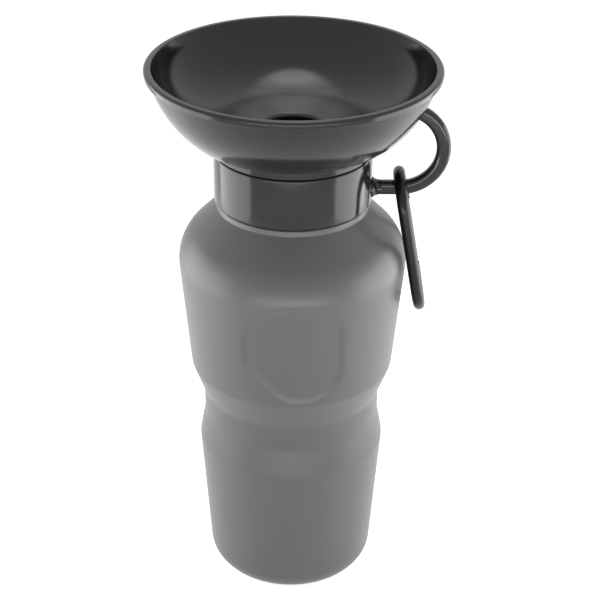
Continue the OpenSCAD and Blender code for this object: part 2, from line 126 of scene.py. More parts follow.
def inset(corners: Sequence[Corner], d: float, least_round: float = 0.3) -> list[Corner]:
    """Moves an outline that runs anticlockwise from the axis inwards.

    A corner between sides with inward normals m and n goes to b + d (m + n) / (1 + m.n), and its
    rounding shrinks by d on an outer corner and grows by d on an inner one.

    Args:
        corners: the corners, from the axis onwards.
        d: how far each side moves.
        least_round: the smallest rounding that a rounded corner keeps.

    Returns:
        The corners of the inner outline.
    """
    p = np.array(corners, float)
    out = [(0.0, float(p[0, 1]) + d, 0.0)]
    for i in range(1, len(p)):
        e = unit(p[i, :2] - p[i - 1, :2])
        f = unit(p[i + 1, :2] - p[i, :2]) if i + 1 < len(p) else e
        m, n = np.array([-e[1], e[0]]), np.array([-f[1], f[0]])
        at = p[i, :2] + d * (m + n) / (1.0 + m @ n)
        r = p[i, 2] + (-d if e[0] * f[1] - e[1] * f[0] > 0 else d)
        out.append((float(at[0]), float(at[1]), max(least_round, r) if p[i, 2] > 0 else 0.0))
    return out


def refine(line: Array, step: Array | float, closed: bool) -> Array:
    """Splits each side of a line into equal parts.

    Args:
        line: the points, one row each.
        step: the longest part, for all sides or for each of them.
        closed: whether the last point joins the first.

    Returns:
        The points of the finer line.
    """
    a = line if closed else line[:-1]
    b = np.roll(line, -1, axis=0) if closed else line[1:]
    count = np.maximum(1, np.ceil(np.linalg.norm(b - a, axis=1) / step)).astype(int)
    side = np.repeat(np.arange(len(a)), count)
    first = np.repeat(np.cumsum(count) - count, count)
    t = ((np.arange(count.sum()) - first) / count[side])[:, None]
    out = a[side] + t * (b - a)[side]
    return out if closed else np.concatenate([out, line[-1:]])


def smoothstep(x: Array) -> Array:
    """Returns 3x^2 - 2x^3, with x held between 0 and 1."""
    x = np.clip(x, 0.0, 1.0)
    return x * x * (3.0 - 2.0 * x)


def inside_distance(px: Array, pz: Array, polygon: Array) -> Array:
    """Measures how far points lie inside a polygon.

    The distance to a side from a along s is |p - a - s clip((p - a).s / s.s, 0, 1)|, and a point
    is inside where a ray from it crosses an odd number of sides.

    Args:
        px: how far across each point is.
        pz: how high each point is.
        polygon: its corners, one row each.

    Returns:
        Each point's distance from the polygon's edge, above zero inside it.
    """
    p = np.stack([px, pz], axis=-1)[..., None, :]
    a = polygon
    s = np.roll(polygon, -1, axis=0) - a
    t = np.clip(((p - a) * s).sum(-1) / (s * s).sum(-1), 0.0, 1.0)
    distance = np.linalg.norm(p - a - s * t[..., None], axis=-1).min(-1)
    above = (a[:, 1] > p[..., 1]) != (a[:, 1] + s[:, 1] > p[..., 1])
    with np.errstate(divide="ignore", invalid="ignore"):
        cross = a[:, 0] + s[:, 0] * (p[..., 1] - a[:, 1]) / s[:, 1]
    odd = (above & (p[..., 0] < cross)).sum(-1) % 2 == 1
    return np.where(odd, distance, -distance)


# ---------------------------------------------------------------- surfaces


def revolve(outline: Array, angles: Array) -> Array:
    """Turns an outline round +Z: p(i, j) = (r_i cos a_j, r_i sin a_j, z_i)."""
    r, z = outline[:, :1], outline[:, 1:2]
    return np.stack([r * np.cos(angles), r * np.sin(angles), z + 0.0 * angles], axis=-1)


def even_angles(columns: int) -> Array:
    """Returns that many equal steps of one full turn."""
    return np.linspace(0.0, TURN, columns, endpoint=False)


def axis_distance(grid: Array) -> Array:
    """Returns the distance of each point of a grid from the Z axis."""
    return np.hypot(grid[..., 0], grid[..., 1])


def push_out(grid: Array, amount: Array) -> Array:
    """Moves the points of a revolved grid away from the axis.

    Args:
        grid: the points.
        amount: how far each of them goes, below zero towards the axis.

    Returns:
        The moved points.
    """
    out = grid.copy()
    out[..., :2] *= (1.0 + amount / np.maximum(axis_distance(grid), 1e-9))[..., None]
    return out


def pole(row: Array) -> Array:
    """Returns a row whose points all lie at the middle of the given one, to close a tube's end."""
    return row * 0 + row.mean(axis=1, keepdims=True)


@dataclass(frozen=True)
class Thread:
    """A helical ridge on a turned surface, in millimetres and turns.

    Attributes:
        start_z: height at which its middle starts.
        start_turn: where it starts, in turns from +X.
        pitch: how far it climbs in a turn.
        turns: how long it is.
        depth: height of its crest over the surface.
        root: width of its foot.
        crest: width of its crest.
        ends_in_a_turn: how many times its run-in fits into a turn.
    """

    start_z: float
    start_turn: float
    pitch: float = 4.0
    turns: float = 1.5
    depth: float = 0.8
    root: float = 1.7
    crest: float = 0.77
    ends_in_a_turn: float = 12.0

    def height(self, grid: Array) -> Array:
        """Works out the height of the ridge over a surface.

        With t the turn that brings the helix z = start + pitch t nearest to a point, the height is
        depth (root/2 - |dz|) / (root/2 - crest/2), held between 0 and depth, and it fades in and
        out over a twelfth of a turn at the ends.

        Args:
            grid: the points of the surface.

        Returns:
            The height at each point.
        """
        angle = (np.arctan2(grid[..., 1], grid[..., 0]) / TURN - self.start_turn) % 1.0
        up = (grid[..., 2] - self.start_z) / self.pitch
        turn = angle + np.clip(np.round(up - angle), 0.0, math.ceil(self.turns) - 1.0)
        dz = np.abs(up - turn) * self.pitch
        ridge = np.clip((self.root / 2 - dz) / (self.root / 2 - self.crest / 2), 0.0, 1.0)
        fade = np.clip(np.minimum(turn, self.turns - turn) * self.ends_in_a_turn, 0.0, 1.0)
        return self.depth * ridge * fade


@dataclass
class Skin:
    """Faces being gathered for one mesh.

    Attributes:
        points: the points of each grid, in metres.
        quads: the quads of each grid, as numbers of points.
    """

    points: list[Array] = field(default_factory=list)
    quads: list[Array] = field(default_factory=list)

    def add_grid(self, grid: Array, wrap_rows: bool, wrap_columns: bool) -> None:
        """Adds a grid of points, rows by columns, in millimetres.

        Point (i, j) is number i columns + j. Each quad runs along the columns, then the rows, so
        it faces the way d/dcolumn x d/drow points.

        Args:
            grid: the points, rows by columns by 3.
            wrap_rows: whether the last row joins the first.
            wrap_columns: whether the last column joins the first.
        """
        rows, columns = grid.shape[:2]
        i = np.arange(rows if wrap_rows else rows - 1)[:, None]
        j = np.arange(columns if wrap_columns else columns - 1)[None, :]
        k, m = (i + 1) % rows, (j + 1) % columns
        quads = np.stack(
            [i * columns + j, i * columns + m, k * columns + m, k * columns + j], axis=-1
        )
        base = sum(len(p) for p in self.points)
        self.points.append(grid.reshape(-1, 3) * MM)
        self.quads.append(quads.reshape(-1, 4) + base)

    def mesh(self, name: str, sharp: float) -> bpy.types.Mesh:
        """Makes the mesh, closes its poles and seams, and shades it.

        Args:
            name: the mesh's name.
            sharp: edges that turn by more than this, in degrees, stay crisp.

        Returns:
            The mesh, in metres.
        """
        mesh = bpy.data.meshes.new(name)
        mesh.from_pydata(np.concatenate(self.points), [], np.concatenate(self.quads))
        return tidied(mesh, sharp)


def tidied(mesh: bpy.types.Mesh, sharp: float, join: float = 1e-6) -> bpy.types.Mesh:
    """Joins points that lie on each other, drops faces with no area and shades the mesh smooth.

    Args:
        mesh: the mesh, which is changed itself.
        sharp: edges that turn by more than this, in degrees, stay crisp.
        join: points nearer than this become one, in metres.

    Returns:
        The same mesh.
    """
    work = bmesh.new()
    work.from_mesh(mesh)
    bmesh.ops.remove_doubles(work, verts=work.verts, dist=join)
    bmesh.ops.dissolve_degenerate(work, edges=work.edges, dist=join / 10.0)
    work.to_mesh(mesh)
    work.free()
    mesh.shade_smooth()
    mesh.set_sharp_from_angle(angle=math.radians(sharp))
    return mesh


# ---------------------------------------------------------------- finishes


def feed(tree: bpy.types.NodeTree, socket: bpy.types.NodeSocket, value: object) -> None:
    """Links a socket to an output, or sets its value where it is given a plain one.

    Args:
        tree: the nodes that the socket belongs to.
        socket: the input to feed.
        value: an output socket or a plain value.
    """
    if isinstance(value, bpy.types.NodeSocket):
        tree.links.new(value, socket)
    else:
        socket.default_value = value


def put(tree: bpy.types.NodeTree, kind: str, **inputs: object) -> bpy.types.Node:
    """Adds a node and feeds its inputs.

    Args:
        tree: where the node goes.
        kind: Blender's name for the node type.
        inputs: for each socket a value or an output socket, by its name with underscores for
            spaces, or by i and its number.

    Returns:
        The node.
    """
    made = tree.nodes.new(kind)
    for key, value in inputs.items():
        numbered = key[0] == "i" and key[1:].isdigit()
        feed(tree, made.inputs[int(key[1:]) if numbered else key.replace("_", " ")], value)
    return made


def maths(
    tree: bpy.types.NodeTree, operation: str, a: object, b: object = 0.0
) -> bpy.types.NodeSocket:
    """Adds one sum.

    Args:
        tree: where its node goes.
        operation: Blender's name for the sum.
        a: its first value, plain or an output socket.
        b: its second value.

    Returns:
        The socket with the result.
    """
    made = put(tree, "ShaderNodeMath", i0=a, i1=b)
    made.operation = operation
    return made.outputs[0]


class Effect(Enum):
    """Surface effects that several finishes share, each one a shader node group.

    Attributes:
        GRAIN: the fine unevenness of a moulded face.
        CLOUD: a slow change of shade through the resin.
        SCUFF: rubbed patches with hairlines.
    """

    GRAIN = "moulding_grain"
    CLOUD = "resin_cloud"
    SCUFF = "handling_scuffs"

    def group(self) -> bpy.types.NodeTree:
        """Returns the effect's node group, built the first time it is asked for."""
        return bpy.data.node_groups.get(self.value) or EFFECT_BUILDERS[self](self.value)


def new_group(
    name: str, given: dict[str, str], results: dict[str, str]
) -> tuple[bpy.types.NodeTree, bpy.types.NodeInputs, bpy.types.NodeOutputs]:
    """Starts a node group.

    Args:
        name: the group's name.
        given: the kind of each input, such as Float, by name.
        results: the kind of each output, by name.

    Returns:
        The group, the sockets that bring its inputs in, and those that take its results.
    """
    tree = bpy.data.node_groups.new(name, "ShaderNodeTree")
    for way, sockets in (("INPUT", given), ("OUTPUT", results)):
        for label, kind in sockets.items():
            tree.interface.new_socket(label, in_out=way, socket_type="NodeSocket" + kind)
    return tree, tree.nodes.new("NodeGroupInput").outputs, tree.nodes.new("NodeGroupOutput").inputs


def noise(
    tree: bpy.types.NodeTree, at: bpy.types.NodeSocket, scale: object, detail: float
) -> bpy.types.NodeSocket:
    """Adds a noise pattern.

    Args:
        tree: where its node goes.
        at: the coordinates that it reads.
        scale: how many waves there are in a metre, plain or an output socket.
        detail: how many finer octaves it has.

    Returns:
        The socket with its level, from 0 to 1.
    """
    return put(tree, "ShaderNodeTexNoise", Vector=at, Scale=scale, Detail=detail).outputs["Fac"]


def rise(
    tree: bpy.types.NodeTree, level: bpy.types.NodeSocket, edge: tuple[float, float]
) -> bpy.types.NodeSocket:
    """Returns a socket that rises from 0 to 1 as the level crosses the edge's two values."""
    return put(tree, "ShaderNodeMapRange", Value=level, i1=edge[0], i2=edge[1]).outputs[0]


def build_grain(name: str, finer: float = 4.3, share: float = 0.4) -> bpy.types.NodeTree:
    """Builds the fine unevenness of a moulded face: coarse noise plus a share of finer noise.

    Args:
        name: the group's name.
        finer: how many waves of the finer noise go into one of the coarse.
        share: height of the finer noise against the coarse.

    Returns:
        The group.
    """
    given_kinds = {"Vector": "Vector", "Size": "Float"}
    tree, given, results = new_group(name, given_kinds, {"Height": "Float"})
    coarse = noise(tree, given["Vector"], given["Size"], detail=2.0)
    fine = noise(tree, given["Vector"], maths(tree, "MULTIPLY", given["Size"], finer), detail=1.0)
    height = maths(tree, "ADD", coarse, maths(tree, "MULTIPLY", fine, share))
    tree.links.new(height, results["Height"])
    return tree


def build_cloud(name: str, waves: Triple = (28.0, 28.0, 7.0)) -> bpy.types.NodeTree:
    """Builds the slow change of shade through the resin: colour (1 + amount (noise - 1/2)).

    Args:
        name: the group's name.
        waves: clouds in a metre along each axis, fewer along the height as the resin was drawn.

    Returns:
        The group.
    """
    given_kinds = {"Vector": "Vector", "Colour": "Color", "Amount": "Float"}
    tree, given, results = new_group(name, given_kinds, {"Colour": "Color"})
    drawn = put(tree, "ShaderNodeMapping", Vector=given["Vector"], Scale=waves)
    level = noise(tree, drawn.outputs[0], scale=1.0, detail=3.0)
    swing = maths(tree, "MULTIPLY", maths(tree, "SUBTRACT", level, 0.5), given["Amount"])
    tint = put(tree, "ShaderNodeVectorMath", i0=given["Colour"])
    tint.operation = "SCALE"
    tree.links.new(maths(tree, "ADD", swing, 1.0), tint.inputs["Scale"])
    tree.links.new(tint.outputs[0], results["Colour"])
    return tree


def build_scuff(
    name: str,
    slant: Triple = (0.4, 0.3, 0.7),
    hairs: Triple = (900.0, 60.0, 500.0),
    hair_share: float = 0.7,
    patch_edge: tuple[float, float] = (0.5, 0.72),
    hair_edge: tuple[float, float] = (0.58, 0.7),
) -> bpy.types.NodeTree:
    """Builds faint rubbed patches broken up by short hairlines.

    The mask is patch (share hairline + 1 - share), and the roughness grows by amount times it.
    Patch and hairline are noise that rises from 0 to 1 between the two levels of their edge.

    Args:
        name: the group's name.
        slant: turn of the hairlines about each axis, in radians.
        hairs: hairlines in a metre along each of their own axes.
        hair_share: how much of a patch the hairlines make up.
        patch_edge: levels of the noise at which a patch starts and is full.
        hair_edge: the same for a hairline.

    Returns:
        The group.
    """
    given_kinds = {"Vector": "Vector", "Size": "Float", "Roughness": "Float", "Amount": "Float"}
    tree, given, results = new_group(name, given_kinds, {"Roughness": "Float", "Mask": "Float"})
    patch = rise(tree, noise(tree, given["Vector"], given["Size"], detail=4.0), patch_edge)
    drawn = put(tree, "ShaderNodeMapping", Vector=given["Vector"], Rotation=slant, Scale=hairs)
    hair = rise(tree, noise(tree, drawn.outputs[0], scale=1.0, detail=2.0), hair_edge)
    lined = maths(tree, "ADD", maths(tree, "MULTIPLY", hair, hair_share), 1.0 - hair_share)
    mask = maths(tree, "MULTIPLY", patch, lined)
    added = maths(tree, "MULTIPLY", mask, given["Amount"])
    tree.links.new(maths(tree, "ADD", added, given["Roughness"]), results["Roughness"])
    tree.links.new(mask, results["Mask"])
    return tree


EFFECT_BUILDERS = {Effect.GRAIN: build_grain, Effect.CLOUD: build_cloud, Effect.SCUFF: build_scuff}


def use_effect(tree: bpy.types.NodeTree, effect: Effect, **inputs: object) -> bpy.types.Node:
    """Places an effect's group in a material.

    Args:
        tree: the material's nodes.
        effect: which effect.
        inputs: for each of the group's sockets a value or an output socket.

    Returns:
        The group's node.
    """
    made = tree.nodes.new("ShaderNodeGroup")
    made.node_tree = effect.group()
    for key, value in inputs.items():
        feed(tree, made.inputs[key], value)
    return made


@dataclass(frozen=True)
class Finish:
    """How one material looks: its colour, gloss, and the size and depth of its unevenness.

    Attributes:
        name: the material's name.
        colour: its base colour.
        roughness: 0 is a mirror, 1 is chalk.
        metallic: 1 for bare metal.
        cloud: how far the shade swings through the resin.
        grain_size: waves of grain in a metre.
        grain_depth: height of the grain, in metres.
        scuff_size: patches of scuffing in a metre.
        scuff: roughness that the scuffs add.
        pale: how far the scuffs lighten the colour.
        dust: the colour that the scuffs tend to.
        specular: strength of its reflection seen head-on; 0.5 is that of common plastics.
    """

    name: str
    colour: Colour
    roughness: float
    metallic: float = 0.0
    cloud: float = 0.12
    grain_size: float = 1500.0
    grain_depth: float = 0.00001
    scuff_size: float = 40.0
    scuff: float = 0.08
    pale: float = 0.02
    dust: Colour = (0.6, 0.6, 0.6)
    specular: float = 0.5

    def material(self) -> bpy.types.Material:
        """Builds the material the first time it is asked for.

        The cloud tints the colour, the scuffs pale and roughen it, and the grain bumps it.

        Returns:
            The material.
        """
        found = bpy.data.materials.get(self.name)
        if found:
            return found
        material = bpy.data.materials.new(self.name)
        material.use_nodes = True
        tree = material.node_tree
        shader = tree.nodes["Principled BSDF"]
        at = tree.nodes.new("ShaderNodeTexCoord").outputs["Object"]
        plain = (*self.colour, 1.0)
        cloud = use_effect(tree, Effect.CLOUD, Vector=at, Colour=plain, Amount=self.cloud)
        scuff_inputs = {"Size": self.scuff_size, "Roughness": self.roughness, "Amount": self.scuff}
        scuffs = use_effect(tree, Effect.SCUFF, Vector=at, **scuff_inputs)
        paling = maths(tree, "MULTIPLY", scuffs.outputs["Mask"], self.pale)
        rubbed = tree.nodes.new("ShaderNodeMix")
        rubbed.data_type = "RGBA"
        feed(tree, rubbed.inputs["Factor"], paling)
        feed(tree, rubbed.inputs["A"], cloud.outputs["Colour"])
        feed(tree, rubbed.inputs["B"], (*self.dust, 1.0))
        grain = use_effect(tree, Effect.GRAIN, Vector=at, Size=self.grain_size).outputs["Height"]
        bump = put(tree, "ShaderNodeBump", Height=grain, Distance=self.grain_depth, Strength=1.0)
        tree.links.new(rubbed.outputs["Result"], shader.inputs["Base Color"])
        tree.links.new(scuffs.outputs["Roughness"], shader.inputs["Roughness"])
        tree.links.new(bump.outputs[0], shader.inputs["Normal"])
        shader.inputs["Metallic"].default_value = self.metallic
        shader.inputs["Specular IOR Level"].default_value = self.specular
        return material


GREY_BODY = Finish(
    "satin_grey_body", (0.13, 0.13, 0.1315), 0.38, grain_size=700.0, grain_depth=0.00003, specular=0.55
)
BLACK_LID = Finish(
    "gloss_black_lid", (0.02, 0.0202, 0.0205), 0.13, cloud=0.05, scuff=0.05, pale=0.004, specular=0.4
)
GREY_INSERT = Finish("satin_grey_insert", (0.08, 0.082, 0.085), 0.4)
BLACK_SILICONE = Finish(
    "black_silicone", (0.02, 0.02, 0.02), 0.55, grain_size=2500.0, grain_depth=0.00002
)
PALE_SILICONE = Finish("pale_silicone", (0.6, 0.6, 0.57), 0.5)
MILKY_TUBE = Finish("milky_tube", (0.7, 0.7, 0.7), 0.35)
BLACK_ANODISED = Finish(
    "black_anodised",
    (0.004, 0.004, 0.0045),
    0.28,
    cloud=0.05,
    grain_size=4000.0,
    grain_depth=0.000004,
    specular=0.3,
)
BRIGHT_STEEL = Finish(
    "bright_steel", (0.55, 0.55, 0.56), 0.25, metallic=1.0, grain_size=5000.0, grain_depth=0.000003
)


# ---------------------------------------------------------------- placing pieces


@dataclass(frozen=True)
class Fitting:
    """Where a piece belongs.

    Attributes:
        body: the body it rides on.
        slot: the name of its material slot, which nothing reads.
        stands_for: the CAD nodes that it replaces.
    """

    body: str
    slot: str
    stands_for: tuple[str, ...]


def fit_piece(name: str, mesh: bpy.types.Mesh, finish: Finish, fitting: Fitting) -> bpy.types.Object:
    """Makes the object of a finished mesh, dresses it and joins it to its body.

    Args:
        name: the piece's name.
        mesh: its mesh, in metres and in place.
        finish: its material.
        fitting: where it belongs.

    Returns:
        The object.
    """
    piece = bpy.data.objects.new(name, mesh)
    bpy.context.scene.collection.objects.link(piece)
    mesh.materials.clear()
    mesh.materials.append(finish.material())
    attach(piece, fitting.body)
    if fitting.stands_for:
        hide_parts(*fitting.stands_for)
    LOG.info("%s: %d faces, rides on %s", name, len(mesh.polygons), fitting.body)
    return piece


def fit_skin(
    name: str, skin: Skin, finish: Finish, fitting: Fitting, sharp: float = 40.0
) -> bpy.types.Object:
    """Fits the mesh of a skin.

    Args:
        name: the piece's name, and its mesh's.
        skin: its faces.
        finish: its material.
        fitting: where it belongs.
        sharp: edges that turn by more than this, in degrees, stay crisp.

    Returns:
        The object.
    """
    return fit_piece(name, skin.mesh(name, sharp), finish, fitting)


def fit_copy(
    nodes: dict[str, bpy.types.Object], node: str, finish: Finish, body: str, slot: str
) -> bpy.types.Object:
    """Fits a smooth-shaded copy of a CAD node in its place.

    Args:
        nodes: the CAD nodes by name.
        node: the name of the one to copy.
        finish: its material.
        body: the body it rides on.
        slot: not used; it is only kept in the fitting.

    Returns:
        The object.
    """
    mesh = tidied(nodes[node].data.copy(), sharp=32.0)
    return fit_piece(node + "_piece", mesh, finish, Fitting(body, slot, (node,)))


# ---------------------------------------------------------------- the bottle


@dataclass
class SqueezeBottle:
    """The blow-moulded body, with its waist, thumb recess and threaded neck.

    Sizes are in millimetres and angles in degrees. A corner of the outside is its radius from the
    axis, its height and its rounding.

    Attributes:
        push_up: edge of the hollow under the base.
        foot: inner edge of the ring that the bottle stands on.
        base: outer edge of that ring.
        belly: the widest part below the waist.
        waist_foot: lower end of the waist.
        waist_top: upper end of the waist.
        chest: where the waist has widened into the upper body.
        shoulder: where the upper body turns in towards the neck.
        bead_r: radius of the bead under the collar.
        bead_h: height of that bead.
        bead_foot_round: rounding of the bead's lower edge.
        bead_top_round: rounding of its upper edge.
        wall: thickness of the wall.
        neck_r: outer radius of the neck.
        neck_bore: inner radius of the neck.
        neck_root: height at which the neck starts.
        neck_top: height of its rim.
        neck_round: rounding at the neck's root.
        rim_round: rounding of its rim.
        roof_round: rounding inside, where the shoulder meets the neck.
        thread_lift: from the neck's root up to the start of the thread.
        thread_turn: where it starts, in turns from +X.
        thread_clear: height above the root that stays free of it.
        recess_depth: depth of the thumb recess.
        recess_w: its width.
        recess_h: its height.
        recess_x: place of its middle across the front.
        recess_z: height of its middle.
        recess_edge: width of the slope at its edge.
        recess_plan_corners: its corners, as parts of half its width and half its height, and
            their roundings.
        front: the angles between which the recess lies.
        front_columns: columns of faces between them.
        back_columns: columns over the rest of the turn.
        thread_step: height of a face on the thread.
        outer_step: height of a face on the rest of the outside.
        inner_step: height of a face on the inside.
    """

    push_up: Corner = (15.5, 3.5, 6.0)
    foot: Corner = (20.5, 0.0, 1.5)
    base: Corner = (33.8, 0.0, 10.0)
    belly: Corner = (38.2, 62.5, 9.0)
    waist_foot: Corner = (36.0, 74.5, 8.0)
    waist_top: Corner = (36.1, 85.5, 7.0)
    chest: Corner = (41.1, 99.0, 6.5)
    shoulder: Corner = (45.9, 152.0, 20.0)
    bead_r: float = 29.9
    bead_h: float = 2.3
    bead_foot_round: float = 0.6
    bead_top_round: float = 0.7
    wall: float = 1.6
    neck_r: float = 26.4
    neck_bore: float = 24.4
    neck_root: float = 170.2
    neck_top: float = 180.6
    neck_round: float = 0.5
    rim_round: float = 0.4
    roof_round: float = 0.8
    thread_lift: float = 3.0
    thread_turn: float = 0.0
    thread_clear: float = 1.5
    recess_depth: float = 0.9
    recess_w: float = 41.6
    recess_h: float = 46.0
    recess_x: float = 0.5
    recess_z: float = 122.8
    recess_edge: float = 3.4
    recess_plan_corners: tuple[Corner, ...] = (
        (-1.0, -0.23, 14.0),
        (-0.2, -1.0, 14.0),
        (1.0, -1.0, 16.0),
        (1.0, 1.0, 15.0),
        (-1.0, 1.0, 20.0),
    )
    front: tuple[float, float] = (-150.0, -30.0)
    front_columns: int = 120
    back_columns: int = 84
    thread_step: float = 0.25
    outer_step: float = 1.3
    inner_step: float = 2.6

    def side(self) -> list[Corner]:
        """Lists the outside.

        Returns:
            Its corners, from the axis under the base up to the bead's top.
        """
        return [
            (0.0, self.push_up[1], 0.0),
            self.push_up,
            self.foot,
            self.base,
            self.belly,
            self.waist_foot,
            self.waist_top,
            self.chest,
            self.shoulder,
            (self.bead_r, self.neck_root - self.bead_h, self.bead_foot_round),
            (self.bead_r, self.neck_root, self.bead_top_round),
        ]

    def outline(self) -> Array:
        """Draws the wall's whole section, with short faces where the thread will be.

        Returns:
            Its points: up the outside, over the rim and down the inside.
        """
        inner = inset([*self.side(), (self.neck_r, self.neck_root, 0.0)], self.wall)[:-1]
        neck = [
            (self.neck_r, self.neck_root, self.neck_round),
            (self.neck_r, self.neck_top, self.rim_round),
            (self.neck_bore, self.neck_top, self.rim_round),
            (self.neck_bore, self.neck_root - self.wall, self.roof_round),
        ]
        line = rounded(self.side() + neck + inner[::-1], closed=False)
        middle = (line[:-1] + line[1:]) / 2
        on_neck = (middle[:, 0] > self.neck_r - self.rim_round) & (middle[:, 1] > self.neck_root)
        outside = np.arange(len(middle)) < int(np.argmax(line[:, 1]))
        plain_step = np.where(outside, self.outer_step, self.inner_step)
        return refine(line, np.where(on_neck, self.thread_step, plain_step), closed=False)

    def angles(self) -> Array:
        """Spaces the columns round the body, closer together where the recess lies.

        Returns:
            Their angles, in radians.
        """
        start, end = self.front
        front = np.linspace(start, end, self.front_columns, endpoint=False)
        back = np.linspace(end, start + 360.0, self.back_columns, endpoint=False)
        return np.radians(np.concatenate([front, back]))

    def recess_plan(self) -> Array:
        """Draws the recess's rounded five-cornered plan, as seen from the front.

        Returns:
            Its points, across and up.
        """
        w, h = self.recess_w / 2, self.recess_h / 2
        corners = [(w * across, h * up, r) for across, up, r in self.recess_plan_corners]
        return rounded(corners, closed=True) + np.array([self.recess_x, self.recess_z])

    def recess(self, grid: Array) -> Array:
        """Works out the recess: depth smoothstep(distance inside the plan / width of its edge).

        Both faces of the wall follow it, so the wall keeps its thickness.

        Args:
            grid: the points of the body, of which those on the front are measured.

        Returns:
            How deep each point lies.
        """
        depth = np.zeros(grid.shape[:2])
        on_front = grid[..., 1] < -self.recess_w / 4
        near = on_front & (np.abs(grid[..., 2] - self.recess_z) < self.recess_h)
        inside = inside_distance(grid[near][:, 0], grid[near][:, 2], self.recess_plan())
        depth[near] = self.recess_depth * smoothstep(inside / self.recess_edge)
        return depth

    def build(self) -> None:
        """Builds and dresses the body."""
        grid = revolve(self.outline(), self.angles())
        outside_neck = axis_distance(grid) > self.neck_r - TOUCH
        on_thread = outside_neck & (grid[..., 2] > self.neck_root + self.thread_clear)
        thread = Thread(self.neck_root + self.thread_lift, self.thread_turn)
        ridge = np.where(on_thread, thread.height(grid), 0.0)
        skin = Skin()
        skin.add_grid(push_out(grid, ridge - self.recess(grid)), wrap_rows=False, wrap_columns=True)
        fit_skin("squeeze_bottle", skin, GREY_BODY, Fitting("bottle", "bottle", ("bottle",)))


# ---------------------------------------------------------------- the collar and its loop


